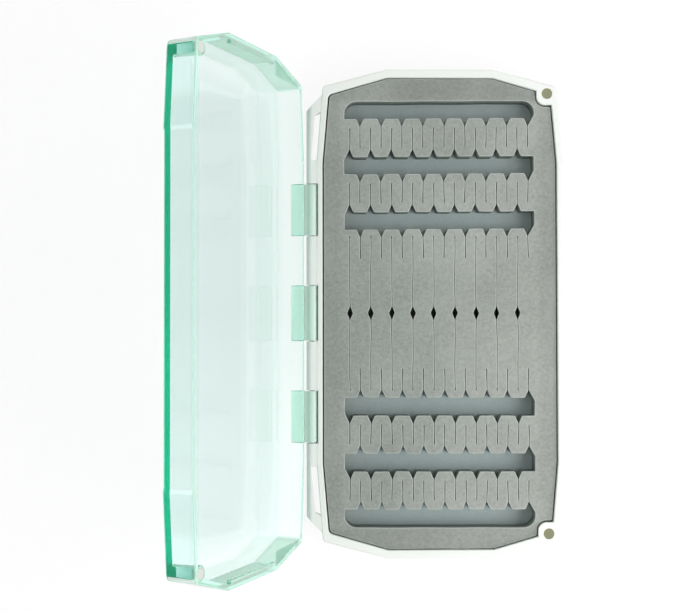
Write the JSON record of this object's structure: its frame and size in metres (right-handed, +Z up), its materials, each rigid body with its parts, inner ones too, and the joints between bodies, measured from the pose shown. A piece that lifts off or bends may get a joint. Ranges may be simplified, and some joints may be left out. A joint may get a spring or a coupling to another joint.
{
  "type": "fly box",
  "caption": "Slim case for fishing flies: white tray with slit foam, clear green lid on a pin hinge, shut by corner magnets.",
  "frame": {"origin": "centre of the tray's flat underside", "axes": "+Y along the box's length and hinge pin, +X from the hinge towards the opening side, +Z up out of the tray"},
  "size_m": [0.146, 0.1904, 0.1046],
  "materials": {
    "base_polycarbonate": "satin",
    "lid_polycarbonate": "gloss",
    "slit_foam": "matte",
    "backing_foam": "matte",
    "pin_steel": "satin",
    "magnet_nickel": "satin"
  },
  "bodies": {
    "base": {"base_shell": "base_polycarbonate", "foam_backing": "backing_foam", "slit_foam": "slit_foam", "hinge_pin": "pin_steel", "base_magnet_left": "magnet_nickel", "base_magnet_right": "magnet_nickel"},
    "lid": {"lid_shell": "lid_polycarbonate", "lid_magnet_left": "magnet_nickel", "lid_magnet_right": "magnet_nickel"}
  },
  "joints": [
    {"name": "lid_hinge", "type": "hinge", "parent": "base", "child": "lid", "pos_m": [-0.0501, 0, 0.0138], "axis": [0, -1, 0], "range_deg": [-111, 0]}
  ]
}
